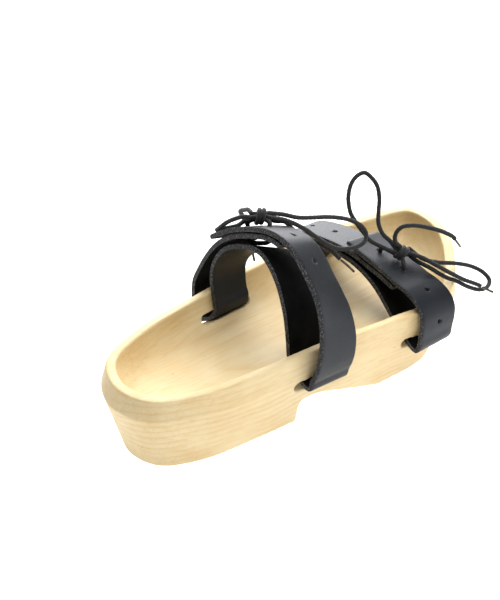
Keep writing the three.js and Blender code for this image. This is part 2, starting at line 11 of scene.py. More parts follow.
import bmesh
import bpy
import numpy as np
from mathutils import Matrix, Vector


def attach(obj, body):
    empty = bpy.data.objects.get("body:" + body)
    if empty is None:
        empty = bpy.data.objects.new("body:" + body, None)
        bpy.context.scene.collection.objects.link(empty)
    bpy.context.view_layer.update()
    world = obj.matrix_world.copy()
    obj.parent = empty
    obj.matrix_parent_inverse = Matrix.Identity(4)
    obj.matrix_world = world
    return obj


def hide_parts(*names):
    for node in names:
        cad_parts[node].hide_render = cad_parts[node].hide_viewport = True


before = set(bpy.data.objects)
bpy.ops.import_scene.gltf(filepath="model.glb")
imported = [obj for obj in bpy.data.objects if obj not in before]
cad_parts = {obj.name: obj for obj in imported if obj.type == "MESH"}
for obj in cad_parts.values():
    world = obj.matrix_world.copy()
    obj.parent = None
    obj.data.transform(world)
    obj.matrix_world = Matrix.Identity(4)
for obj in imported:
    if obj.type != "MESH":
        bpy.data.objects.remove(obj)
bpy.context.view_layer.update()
MM = 0.001
ORIGIN = np.array([0.3802, 127.4446, 0.0])


def to_part(points):
    """Points in the shoemaker's millimetres as points of the part's frame in metres."""
    return (np.asarray(points, float) - ORIGIN) * MM


def in_scene(name, data):
    """A new object for a mesh, a camera or a light, put in the scene."""
    thing = bpy.data.objects.new(name, data)
    bpy.context.scene.collection.objects.link(thing)
    return thing


print("frame nodes:", len(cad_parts))

# %% [markdown]
# The camera stands where the photographer stood: on the outer side, behind the heel and above,
# looking 34 degrees down along the foot. It could be placed by eye, but here its place was solved
# from the sole's known outline, so that every edge can be compared with the photograph.

# %% Camera
CAMERA_AT = (318.2, -182.7, 346.0)
CAMERA_LOOKS = (-0.629, 0.541, -0.559)
CAMERA_LENS = 53.7
camera_data = bpy.data.cameras.new("camera")
camera_data.lens = CAMERA_LENS
camera = in_scene("camera", camera_data)
camera.location = to_part(CAMERA_AT)
camera.rotation_euler = Vector(CAMERA_LOOKS).to_track_quat("-Z", "Y").to_euler()
bpy.context.scene.camera = camera
print("camera at", [round(c, 3) for c in camera.location])

# %% [markdown]
# Every surface here is a grid of points worked out with numpy. It could be modelled by hand, but a
# formula gives the same surface on each run. These helpers turn a grid into a mesh object, fill
# in between the rows of the shoemaker's tables, and run a smooth curve through a cord's points.

# %% Helpers for meshes
def new_object(name, vertices, faces):
    """A mesh object at the origin from points in the part's frame."""
    mesh = bpy.data.meshes.new(name)
    mesh.from_pydata(np.asarray(vertices).tolist(), [], faces)
    mesh.validate()
    mesh.update()
    return in_scene(name, mesh)


def ring_faces(rings, around, first=0):
    """Quads between closed rings of points that are stored one after another."""
    r, k = np.meshgrid(np.arange(rings - 1), np.arange(around), indexing="ij")
    a = first + r * around + k
    b = first + r * around + (k + 1) % around
    return np.stack([a, b, b + around, a + around], axis=-1).reshape(-1, 4).tolist()


def lidded(rings, around, first=0):
    """The quads between the rings, and a flat face over each end."""
    last = first + (rings - 1) * around
    lids = [list(range(first, first + around))[::-1], list(range(last, last + around))]
    return ring_faces(rings, around, first) + lids


def baked(piece):
    """The same object with its modifiers applied to the mesh."""
    graph = bpy.context.evaluated_depsgraph_get()
    mesh = bpy.data.meshes.new_from_object(piece.evaluated_get(graph), depsgraph=graph)
    piece.modifiers.clear()
    piece.data = mesh
    return piece


def cut(piece, cutter):
    """Take the cutter's solid away from a piece, and drop the cutter."""
    step = piece.modifiers.new("cut", "BOOLEAN")
    step.operation = "DIFFERENCE"
    step.solver = "EXACT"
    step.object = cutter
    baked(piece)
    bpy.data.objects.remove(cutter)


def shade_smooth(piece):
    piece.data.polygons.foreach_set("use_smooth", [True] * len(piece.data.polygons))
    piece.data.update()


print("two rings of 4 points give", len(ring_faces(2, 4)), "faces")


# %% Helper for tables
def smooth(table, value):
    """A cubic through the rows of a table: first column the place, other columns the values.

    Each span is a Hermite cubic whose end slopes are the slopes between the neighbouring rows.
    """
    table = np.asarray(table, float)
    place, rows = table[:, 0], table[:, 1:]
    last = len(place) - 1
    before = np.maximum(np.arange(last + 1) - 1, 0)
    after = np.minimum(np.arange(last + 1) + 1, last)
    slope = (rows[after] - rows[before]) / (place[after] - place[before])[:, None]
    v = np.clip(value, place[0], place[-1])
    i = np.searchsorted(place[1:last], v, side="left")
    span = (place[i + 1] - place[i])[..., None]
    t = (v - place[i])[..., None] / span
    rise = rows[i + 1] - rows[i]
    c1, c2 = slope[i] * span, slope[i + 1] * span
    return rows[i] + c1 * t + (3 * rise - 2 * c1 - c2) * t**2 + (c1 + c2 - 2 * rise) * t**3


print("halfway between the rows (0, 0) and (1, 2):", smooth([(0, 0), (1, 2)], np.array([0.5])))


# %% Helper for curves
SPAN_POINTS = 40


def run_along(path):
    """The distance run so far at each point of a path."""
    return np.concatenate([[0], np.cumsum(np.linalg.norm(np.diff(path, axis=0), axis=1))])


def through(points, step, closed=False):
    """Evenly spaced points on a centripetal Catmull-Rom curve through the given points."""
    p = np.asarray(points, float)
    if closed:
        p = np.vstack([p[-1], p, p[0], p[1]])
    else:
        p = np.vstack([2 * p[0] - p[1], p, 2 * p[-1] - p[-2]])
    gap = np.sqrt(np.linalg.norm(np.diff(p, axis=0), axis=1))[:, None]
    d0, d1, d2 = gap[:-2], gap[1:-1], gap[2:]
    a, b, c, d = p[:-3], p[1:-2], p[2:-1], p[3:]
    t1 = ((b - a) / d0 - (c - a) / (d0 + d1) + (c - b) / d1) * d1
    t2 = ((c - b) / d1 - (d - b) / (d1 + d2) + (d - c) / d2) * d1
    t = np.linspace(0, 1, SPAN_POINTS, endpoint=False)[None, :, None]
    b, c, t1, t2 = (q[:, None, :] for q in (b, c, t1, t2))
    fine = b + t1 * t + (3 * (c - b) - 2 * t1 - t2) * t**2 + (t1 + t2 + 2 * (b - c)) * t**3
    fine = np.vstack([fine.reshape(-1, 3), p[-2]])
    run = run_along(fine)
    even = np.linspace(0, run[-1], max(4, int(round(run[-1] / step))) + 1)
    return np.stack([np.interp(even, run, fine[:, k]) for k in range(3)], axis=1)


corner = through([(0, 0, 0), (1, 0, 0), (1, 1, 0)], 0.1)
print("a corner of 3 points becomes a curve of", len(corner))

# %% [markdown]
# Materials. Each starts from what the real thing is. Images could be wrapped round the pieces,
# but patterns worked out in space need no seams. Colours are written as sRGB hex values, and the
# scale of each pattern comes from a size in millimetres.

# %% Material helpers
def linear(code):
    """A hex sRGB colour as linear RGBA."""
    channels = [int(code[i : i + 2], 16) / 255 for i in (1, 3, 5)]
    rgb = [c / 12.92 if c <= 0.04045 else ((c + 0.055) / 1.055) ** 2.4 for c in channels]
    return (*rgb, 1)


def grain(size):
    """The Scale of a noise or cell pattern whose features are about this many millimetres."""
    return 1 / (size * MM)


def node(tree, kind, inputs=None, out=0, stops=None, **attributes):
    """Add a node and return one of its outputs, by name or place, or the node for out=None.
    inputs gives each input, by name or place, a value or another node's output. stops are a colour
    ramp's (position, hex colour) pairs, and attributes are the node's own."""
    made = tree.nodes.new("ShaderNode" + kind)
    for key, value in attributes.items():
        setattr(made, key, value)
    for key, value in (inputs or {}).items():
        if isinstance(value, bpy.types.NodeSocket):
            tree.links.new(value, made.inputs[key])
        else:
            made.inputs[key].default_value = value
    if stops:
        elements = made.color_ramp.elements
        while len(elements) < len(stops):
            elements.new(0.5)
        for element, (position, code) in zip(elements, stops):
            element.position = position
            element.color = linear(code)
    return made if out is None else made.outputs[out]


def new_material(name):
    """A material with an empty node tree, that tree, and the place on the piece in metres."""
    material = bpy.data.materials.new(name)
    material.use_nodes = True
    tree = material.node_tree
    tree.nodes.clear()
    return material, tree, node(tree, "TexCoord", out="Object")


def finished(material, look):
    """The material, its tree ended with a Principled shader that has these inputs."""
    tree = material.node_tree
    node(tree, "OutputMaterial", {"Surface": node(tree, "BsdfPrincipled", look)}, out=None)
    return material


def mottled(name, tone, stops, relief, look):
    """A material whose tone follows one noise and whose relief another. tone is a noise's size
    and detail, relief its size, detail, strength and height, sizes in millimetres, and look has
    the shader's plain inputs."""
    material, tree, place = new_material(name)
    noise = node(tree, "TexNoise", {"Vector": place, "Scale": grain(tone[0]), "Detail": tone[1]})
    look["Base Color"] = node(tree, "ValToRGB", {"Fac": noise}, stops=stops)
    if relief:
        size, detail, strength, height = relief
        noise = node(tree, "TexNoise", {"Vector": place, "Scale": grain(size), "Detail": detail})
        bump = {"Height": noise, "Strength": strength, "Distance": height * MM}
        look["Normal"] = node(tree, "Bump", bump)
    return finished(material, look)


print("mid grey in linear light:", round(linear("#808080")[0], 3))

# %% [markdown]
# The wood is a pale close-grained hardwood such as alder or lime, sanded and left bare. A tree's
# growth rings are cylinders round the trunk's core. Here the core lies along the foot, a hand's
# width below it, so that the carved surfaces cut the rings in contour lines in the heel dish and
# in long stripes elsewhere. A picture of wood would break at each edge, and this pattern runs
# through the block as real grain does. Rings are about 4 mm apart. Real fibres are too fine for
# the render, so they are drawn 1 mm wide.

# %% Sanded wood
RING_SPACING = 4.2 * MM
PITH_AT = (0.035, 0.0, -0.14)
WOOD_TONE = "#e8d5aa"
RING_TONES = [(0.0, "#e5d2a7"), (0.35, "#e9d8b0"), (0.7, "#e7d5ac"), (0.95, "#e1cb9b")]
TRUNK_BENDS = (0.03, 0.0, 0.03)
RINGS_RUN_ON = (1, 0.06, 1)
FIBRES_RUN_ON = (1, 0.04, 1)


def sanded_wood():
    material, tree, place = new_material("sanded_alder")
    # the trunk's slow bends move every point sideways
    slow = {"Vector": place, "Scale": grain(111), "Detail": 2.0}
    bends = node(tree, "TexNoise", slow, out="Color")
    both_ways = node(tree, "VectorMath", {0: bends, 1: (0.5, 0.5, 0.5)}, operation="SUBTRACT")
    sway = node(tree, "VectorMath", {0: both_ways, 1: TRUNK_BENDS}, operation="MULTIPLY")
    swayed = node(tree, "VectorMath", {0: place, 1: sway}, operation="ADD")
    # rings: the tone goes by the distance from the core
    from_core = node(tree, "VectorMath", {0: swayed, 1: PITH_AT}, operation="SUBTRACT")
    across = node(tree, "VectorMath", {0: from_core, 1: RINGS_RUN_ON}, operation="MULTIPLY")
    radius = node(tree, "VectorMath", {0: across}, out="Value", operation="LENGTH")
    rings = node(tree, "Math", {0: radius, 1: RING_SPACING}, operation="DIVIDE")
    share = node(tree, "Math", {0: rings}, operation="FRACT")
    ring_tone = node(tree, "ValToRGB", {"Fac": share}, stops=RING_TONES)
    # where the rings show: they come and go over a few centimetres
    patches = node(tree, "TexNoise", {"Vector": place, "Scale": grain(45.5), "Detail": 1.0})
    showing = node(tree, "MapRange", {"Value": patches, "From Min": 0.4, "From Max": 0.65})
    layers = {0: showing, 6: linear(WOOD_TONE), 7: ring_tone}
    tone = node(tree, "Mix", layers, out=2, data_type="RGBA", blend_type="MIX")
    # fibres and stripes that run along the foot, soft clouds, and small flecks
    drawn_out = node(tree, "VectorMath", {0: place, 1: FIBRES_RUN_ON}, operation="MULTIPLY")
    fibres = node(tree, "TexNoise", {"Vector": drawn_out, "Scale": grain(1), "Detail": 3.0})
    stripes = node(tree, "TexNoise", {"Vector": drawn_out, "Scale": grain(5.26), "Detail": 4.0})
    clouds = node(tree, "TexNoise", {"Vector": place, "Scale": grain(28.6), "Detail": 5.0})
    flecks = node(tree, "TexVoronoi", {"Vector": place, "Scale": grain(11.1)}, out="Distance")
    # each darkens the tone by a share, where its own tones are dark
    for share, pattern, stops in (
        (0.2, fibres, [(0.35, "#e0cdaa"), (0.5, "#ffffff")]),
        (0.22, stripes, [(0.38, "#ecd9b4"), (0.58, "#ffffff")]),
        (0.6, clouds, [(0.3, "#f0dfc2"), (0.7, "#ffffff")]),
        (0.5, flecks, [(0.03, "#8a6a44"), (0.05, "#ffffff")]),
    ):
        layers = {0: share, 6: tone, 7: node(tree, "ValToRGB", {"Fac": pattern}, stops=stops)}
        tone = node(tree, "Mix", layers, out=2, data_type="RGBA", blend_type="MULTIPLY")
    bump = node(tree, "Bump", {"Height": fibres, "Strength": 0.1, "Distance": 0.2 * MM})
    look = {"Base Color": tone, "Normal": bump, "Roughness": 0.55, "Specular IOR Level": 0.35}
    return finished(material, look)


print("rings every", RING_SPACING / MM, "mm")

# %% [markdown]
# The leather is thick black cowhide, dyed through and cut from the hide with a knife. Its grain
# side has a faint blue-grey sheen and fine creases, its flesh side is a deep black nap, and its
# cut edges show grey packed fibres. One material could be painted by a mask, but three plain ones
# put on by face are easier to read. Creases and fibres are drawn a little coarser than real.

# %% Leather
def grain_leather():
    material, tree, place = new_material("black_cowhide_grain")
    cells = {"Vector": place, "Scale": grain(0.667)}
    creases = node(tree, "TexVoronoi", cells, out="Distance", feature="DISTANCE_TO_EDGE")
    fine = node(tree, "TexNoise", {"Vector": place, "Scale": grain(1.43), "Detail": 4.0})
    broad = node(tree, "TexNoise", {"Vector": place, "Scale": grain(25), "Detail": 3.0})
    low = node(tree, "Bump", {"Height": fine, "Strength": 0.2, "Distance": 0.2 * MM})
    high = {"Height": creases, "Normal": low, "Strength": 0.15, "Distance": 0.1 * MM}
    blacks = [(0.3, "#111316"), (0.7, "#191c20")]
    look = {
        "Base Color": node(tree, "ValToRGB", {"Fac": broad}, stops=blacks),
        "Normal": node(tree, "Bump", high),
        "Roughness": node(tree, "MapRange", {"Value": fine, "To Min": 0.38, "To Max": 0.54}),
        "Specular IOR Level": 0.28,
        "Specular Tint": linear("#dfe6f5"),
    }
    return finished(material, look)


flesh_side = mottled(
    "black_cowhide_flesh_side", (16.7, 3), [(0.3, "#0b0c0c"), (0.7, "#181a1a")],
    (1.11, 5, 0.7, 0.4), {"Roughness": 0.95, "Specular IOR Level": 0.08},
)
cut_edge = mottled(
    "black_cowhide_cut_edge", (0.769, 5), [(0.36, "#141516"), (0.52, "#333436"), (0.66, "#626365")],
    (0.769, 5, 0.8, 0.4), {"Roughness": 0.85},
)
LEATHER_SIDES = (grain_leather(), flesh_side, cut_edge)
print("leather:", [side.name for side in LEATHER_SIDES])

# %% [markdown]
# The laces are waxed cotton braid, nearly black and matt, and their tips are thin smoky film
# pressed round the cord's end. The threads are in the mesh, so the material has only their fuzz.

# %% Lace and tips
lace_finish = mottled(
    "black_cotton_braid", (0.4545, 3), [(0.35, "#070808"), (0.65, "#161718")],
    (0.4545, 3, 0.4, 0.2), {"Roughness": 0.75, "Sheen Weight": 0.15, "Sheen Roughness": 0.5},
)
tip_finish = mottled(
    "smoky_tip_film", (2, 2), [(0.35, "#2a2622"), (0.65, "#4c463d")], None, {"Roughness": 0.3}
)
wood = sanded_wood()
print("finishes:", [m.name for m in bpy.data.materials])

# %% [markdown]
# A lace is a round braided cord with a hard tip on each end. It comes up through two holes of a
# strap and is tied in a bow. A curve object with a bevel would be quicker, but it has no threads.
# So loops and ends are tubes along points chosen from the photograph, the same points as
# in the part, and the braid is in the mesh: the tube's radius swells where two families of
# threads that wind both ways cross.

# %% Lace tubes
LACE = 2.8
TIP = 1.5
SIDES = 24
PLAIT_STRANDS = 4
PLAIT_PITCH = 5.2
PLAIT_DEPTH = 0.13
END_RADIUS = 0.55
FIRST_SIDE = (0.3, 0.2, 0.93)


def frames_along(path):
    """Two unit vectors across a path at each point, carried along without twist."""
    tangent = np.gradient(path, axis=0)
    tangent /= np.linalg.norm(tangent, axis=1)[:, None]
    side = np.cross(tangent[0], FIRST_SIDE)
    sides = []
    for t in tangent:
        side = side - t * side.dot(t)
        side = side / np.linalg.norm(side)
        sides.append(side)
    sides = np.array(sides)
    return sides, np.cross(tangent, sides)


def rings_round(path, radius, around):
    """Rings of points around a path. radius is an array of rings by points around."""
    u, v = frames_along(path)
    turn = np.linspace(0, 2 * math.pi, around, endpoint=False)[None, :, None]
    ring = u[:, None, :] * np.cos(turn) + v[:, None, :] * np.sin(turn)
    return path[:, None, :] + ring * radius[:, :, None]


def tube(path, diameter, depth, taper, first):
    """Points and faces of a closed tube. The radius is half the diameter less the plait's depth,
    plus that depth times |cos(k a + q s) cos(k a - q s)|, with a the angle and s the run in
    millimetres. The ends are rounded over a short taper."""
    run = run_along(path)
    turn = np.linspace(0, 2 * math.pi, SIDES, endpoint=False)[None, :]
    wind = 2 * math.pi * run[:, None] / PLAIT_PITCH
    k = PLAIT_STRANDS / 2
    swell = np.abs(np.cos(k * turn + wind) * np.cos(k * turn - wind))
    inside = np.minimum(run, run[-1] - run)[:, None]
    cap = np.clip(inside / taper, 0, 1)
    rounded = END_RADIUS + (1 - END_RADIUS) * np.sqrt(1 - (1 - cap) ** 2)
    radius = (diameter / 2 - depth + depth * swell) * rounded
    points = rings_round(path, radius, SIDES)
    rings = len(points)
    faces = ring_faces(rings, SIDES, first)
    last = first + (rings - 1) * SIDES
    start = last + SIDES
    faces += [[first + (k + 1) % SIDES, first + k, start] for k in range(SIDES)]
    faces += [[last + k, last + (k + 1) % SIDES, start + 1] for k in range(SIDES)]
    return np.vstack([points.reshape(-1, 3), path[:1], path[-1:]]), faces


def tubes(name, paths, diameter, depth=PLAIT_DEPTH, taper=0.25):
    """One mesh object of closed tubes, one along each path."""
    points = np.empty((0, 3))
    faces = []
    for path in paths:
        more_points, more_faces = tube(path, diameter, depth, taper, len(points))
        points = np.vstack([points, more_points])
        faces += more_faces
    piece = new_object(name, to_part(points), faces)
    shade_smooth(piece)
    return piece


print("lace", LACE, "mm thick, plait", PLAIT_PITCH, "mm long")

# %% Where the laces lie
KNOTS = {"rear": (-13.8, 110.5, 104.0), "front": (25.3, 190.0, 67.0)}
CORDS = {
    "rear_lace_loop_toe": [
        (-11.5, 115.4, 105.5), (-9.2, 123, 103), (-6, 132.4, 98.9), (-3.2, 141.5, 96.8),
        (-0.6, 150, 95.2), (2.2, 157.5, 93.2), (5, 164, 90.6), (9, 170.2, 86), (12, 171.8, 81.2),
        (13.6, 169, 78), (13.4, 164.5, 76.6), (11.8, 157, 76.8), (9.4, 150.5, 78.2), (6.2, 145, 81.6),
        (2.6, 139.6, 86.8), (-2, 133, 93.4), (-6.4, 123.5, 100), (-9.1, 113.7, 104.3),
    ],
    "rear_lace_loop_inner": [
        (-16.5, 105.6, 104.2), (-20.5, 104, 103.6), (-26, 102, 100.6), (-31.5, 100, 96.4),
        (-36, 98.6, 91.6), (-39.5, 99.5, 88.6), (-41, 103.5, 87.2), (-38.5, 108, 87.4),
        (-34, 110, 89.8), (-28.5, 109.4, 94.4), (-23.4, 108, 99.2), (-18, 107.3, 101.7),
    ],
    "rear_lace_end_toe": [
        (-11.6, 115.2, 101.4), (-10.4, 119.4, 99.4), (-9, 124.9, 97.6), (-6.2, 130.5, 90.6),
        (-1.5, 137.5, 85.2), (3.5, 144, 80), (7.6, 149, 75.3), (10.7, 151.9, 71),
    ],
    "rear_lace_end_inner": [
        (-18.4, 107.6, 105.6), (-22.5, 109, 105.4), (-28, 111, 102.4), (-33, 112.6, 99.4),
        (-36.6, 115, 96), (-40, 121, 88.5), (-41, 125, 80), (-40.5, 126, 73), (-38.5, 125.2, 67.5),
    ],
    "front_lace_loop_up": [
        (21.5, 187.5, 70.6), (18.6, 187.2, 73), (13.5, 185.1, 77), (9.5, 185.2, 82.4),
        (7, 187.2, 88), (4.1, 190.3, 95.3), (0.4, 191.7, 101.8), (-3.8, 190.7, 106.2),
        (-7.6, 188.4, 108.8), (-9.9, 184.7, 107.2), (-10.4, 180.4, 103.2), (-8.8, 176.8, 97.1),
        (-7.2, 175.5, 93.4), (-4, 174.4, 88), (-1.5, 174.7, 85), (2.6, 175.6, 80.7),
        (6.4, 176.8, 77), (10.2, 178, 73.6), (16.2, 182, 70.4), (22, 186, 67.4),
    ],
    "front_lace_loop_outer": [
        (27.6, 194.8, 68.8), (34, 199.4, 63.4), (39.1, 208.4, 59.4), (44.2, 219.6, 56.6),
        (49.6, 228.9, 53.3), (55.3, 234.4, 49.4), (60.2, 235.2, 45.8), (62.7, 230.4, 43.8),
        (61.8, 223.6, 44.2), (57.4, 216.3, 47.6), (52.6, 211.4, 51.2), (48.8, 207.4, 53.2),
        (44.8, 203.4, 56.2), (41.6, 200.2, 59.2), (37.8, 197.4, 61.4), (33, 195.6, 62.8),
        (27.9, 194.6, 64.8),
    ],
    "front_lace_end_up": [
        (24, 188.9, 71.9), (22.6, 186.8, 74.6), (22.2, 186.3, 78.5), (22.8, 187, 82),
        (24.6, 189.2, 85), (28.5, 193.7, 86), (33.7, 199.8, 84.9), (39.8, 206.8, 82.2),
        (44.6, 212.4, 78.5), (45.8, 213.9, 76.3),
    ],
    "front_lace_end_outer": [
        (29.8, 193, 67.6), (36, 196.4, 66.2), (42, 200.8, 62.8), (49.2, 207.2, 57.6),
        (52.6, 210.8, 55), (55.7, 214.4, 52.4), (60.8, 220, 49.5), (63.3, 222.6, 47.9),
    ],
}
TIPS = {
    "rear_lace_tip_toe": [(10.9, 152.2, 70.6), (14, 155.5, 66.4), (16.8, 158.4, 62.3)],
    "rear_lace_tip_inner": [(-38.3, 125.1, 67), (-36.4, 124.8, 63), (-34.6, 124.4, 59.4)],
    "front_lace_tip_up": [(45.9, 214.3, 75.6), (46.2, 217, 72.4), (45.9, 220.2, 68.9)],
    "front_lace_tip_outer": [(63.8, 223.1, 47.5), (66.4, 225.5, 45.6), (69, 228, 43.9)],
}
print(len(CORDS), "free cords,", len(TIPS), "tips")

# %% Loops, ends and tips
CORD_STEP = 0.35
TIP_STEP = 0.5
paths = {name: through(route, CORD_STEP) for name, route in CORDS.items()}
cords = {name: tubes(name + "_braid", [path], LACE) for name, path in paths.items()}
tips = {
    name: tubes(name + "_sleeve", [through(route, TIP_STEP)], TIP, depth=0, taper=0.4)
    for name, route in TIPS.items()
}
for name, path in paths.items():
    print(name, round(float(run_along(path)[-1]), 1), "mm")

# %% [markdown]
# The knot of a bow is one strand wrapped round a bundle of the others. A ball would read as a
# blob, and a true knot is hard to route. So each strand that leaves the knot is carried on
# through its middle to a strand on the other side, and two tilted turns of cord are wrapped
# round this bundle.

# %% Knots
KNOT_AXES = {"rear": (0.652, 0.758, 0.0), "front": (0.773, 0.47, -0.415)}
WRAP_RADIUS = 3.2
# of each turn: its place along the knot, its lean and the angle at which it starts
WRAPS = [(-1.3, 0.3, 0.2), (1.2, 0.3, 1.4)]
WRAP_TURNS = 1.1
WRAP_GROWS = 0.1
WRAP_POINTS = 60
# how far a strand runs on inside the cord it meets, and how far into the knot it stays in line
RUNS_ON = 0.6
IN_LINE = 0.5


def first_points(name, end):
    """The two route points nearest the knot at one end of a cord, the nearer one first."""
    route = np.array(CORDS[name], float)
    return (route[0], route[1]) if end == "out" else (route[-1], route[-2])


def strand(centre, one, other, slack):
    """A strand through the knot from one cord's end to another's, in line with both."""
    (a, a_next), (b, b_next) = first_points(*one), first_points(*other)
    to_a = (a_next - a) / np.linalg.norm(a_next - a)
    to_b = (b_next - b) / np.linalg.norm(b_next - b)
    start = [a + RUNS_ON * to_a, a - IN_LINE * to_a]
    end = [b - IN_LINE * to_b, b + RUNS_ON * to_b]
    return through([*start, centre + np.array(slack), *end], CORD_STEP)


def wrap(centre, axis, shift, tilt, start):
    """One and a bit turns of cord round the knot's axis: a tilted ring whose radius grows."""
    axis = np.array(axis)
    side = np.cross([0, 0, 1], axis)
    side /= np.linalg.norm(side)
    up = np.cross(axis, side)
    turn = np.linspace(start, start + WRAP_TURNS * 2 * math.pi, WRAP_POINTS)[:, None]
    lean = axis * (shift + tilt * WRAP_RADIUS * np.cos(turn))
    radius = WRAP_RADIUS + WRAP_GROWS * (turn - start)
    return centre + lean + radius * (np.cos(turn) * up + np.sin(turn) * side)


# of each strand: the two cord ends it joins, and how far it is pushed from the knot's middle
STRANDS = {
    "rear": [
        (("rear_lace_loop_toe", "out"), ("rear_lace_loop_inner", "out"), (0.9, -0.6, 0.9)),
        (("rear_lace_loop_toe", "back"), ("rear_lace_end_inner", "out"), (-0.6, 0.6, 0.6)),
        (("rear_lace_end_toe", "out"), ("rear_lace_loop_inner", "back"), (0, 0, -1.2)),
    ],
    "front": [
        (("front_lace_loop_outer", "out"), ("front_lace_loop_up", "out"), (-0.4, 0.3, 1.1)),
        (("front_lace_end_outer", "out"), ("front_lace_end_up", "out"), (0.9, -0.8, 0.8)),
        (("front_lace_loop_outer", "back"), ("front_lace_loop_up", "back"), (0, 0, -1.1)),
    ],
}
knots = {}
for key, centre in KNOTS.items():
    middle = np.array(centre)
    routes = [strand(middle, *ends) for ends in STRANDS[key]]
    routes += [wrap(middle, KNOT_AXES[key], *turn) for turn in WRAPS]
    knots[key] = tubes(f"{key}_lace_knot_wrapped", routes, LACE)
    print(knots[key].name, len(knots[key].data.polygons), "faces")

# %% [markdown]
# A strap is one strip of thick leather. From its free end on top it runs down the outer side of
# the sole, in through a slot, over the foot, out through the opposite slot and back up to a
# second free end under the first. A flat strip with Solidify could follow a curve, but it would
# not twist as leather does. So a table gives the strip's middle layer in a plane across the foot
# at its rear edge, and how far its front edge is shifted, because the strip twists.

# %% Strap tables
FOOTBED_Z = 30.4
LEATHER = 3.0
STRAP_WIDTH = 27.5
SEAT_GAP = 0.45
SLOT_HEIGHT = 6.6
SLOT_RISE = math.radians(30)
SLOTS = {
    "rear_outer": dict(side=1, rear=85, length=37.4, x=46.5, z=28.2),
    "rear_inner": dict(side=-1, rear=80.5, length=40, x=43.8, z=28.9),
    "front_outer": dict(side=1, rear=162.5, length=37.4, x=56.5, z=26.6),
    "front_inner": dict(side=-1, rear=163, length=37, x=53.8, z=26.6),
}


def in_slot(name, along, lift):
    """A row of a strap in a slot: a place along its slanted way and a lift from its seat."""
    slot = SLOTS[name]
    seat = LEATHER / 2 + SEAT_GAP - SLOT_HEIGHT / 2 + lift
    x = slot["x"] - math.cos(SLOT_RISE) * along + math.sin(SLOT_RISE) * seat
    z = slot["z"] + math.sin(SLOT_RISE) * along + math.cos(SLOT_RISE) * seat
    return (slot["side"] * x, z, 0, 0)


REAR_STRAP = dict(
    base=91, lean=0.1, skew=0.02,
    rows=[
        (-40, 85.2, -1, -7.2), (-32, 91, -1, -8), (-18.9, 98.6, -1, -8.5), (-4, 104.7, -2, -9.5),
        (7.4, 107.6, -3, -10.5), (18.9, 107, -3.5, -11), (29.7, 101.4, -4.5, -11),
        (39, 93, -5.5, -10.5), (46.3, 85, -6, -9), (51, 75.6, -4.5, -7), (53.9, 64.7, -2.5, -5),
        (54.8, 55, -1, -3),
        (54.2, 45.3, 0.3, -2), (52.6, 38, 1, -1.5), (51.1, 34.4, 1.2, -1.9),
        (50.7, 30.2, 0.6, -2.8), (48.2, 28.6, 0.2, -1.9), (43.7, 30, 0, -0.8),
        in_slot("rear_outer", 9, 0.5), in_slot("rear_outer", 13, 0.6),
        (31.9, 40.4, 0, 0), (29.6, 50.5, 0, -2), (25.8, 64, -1, -5), (22, 72.8, -2, -7.4),
        (17.8, 80.3, -3, -9.2), (11.9, 87.1, -3, -10.5), (4.6, 92.1, -2, -11.2),
        (-3.6, 93.3, -1, -11.6), (-11.5, 91.1, 0, -12.7), (-19.2, 88, 0, -11.8),
        (-27.3, 82.6, 0, -10.4), (-32.8, 75.8, -0.5, -8.3), (-36.5, 67.2, -1, -6),
        (-36.8, 58.6, -1.8, -3), (-34.8, 50.4, -2.8, -1.4),
        (-32.8, 44, -3.2, -0.6), (-31.6, 39.6, -2.2, 0),
        in_slot("rear_inner", 10, 0.3), in_slot("rear_inner", 6, 0), in_slot("rear_inner", 1, 0),
        in_slot("rear_inner", -3.4, 0), in_slot("rear_inner", -6.4, 1.2),
        (-51, 33, -1, -0.5), (-52.8, 40, -1, -1), (-52.8, 50, -0.5, -2.5), (-47.9, 61.8, 0, -5),
        (-42.9, 71, 0, -6.5), (-37.3, 79.3, 0, -7.5), (-31.6, 85.6, -0.3, -8),
        (-25.6, 90.2, -0.6, -8.2), (-18.1, 94.9, -1, -8.6), (-3.5, 100.9, -2, -9.5),
        (7.2, 103.8, -3, -10.4), (16.6, 103.3, -3.4, -10.9),
    ],
    pitch=19.5, from_top=20.9, top_count=4, from_under=23.4, under_count=3,
)
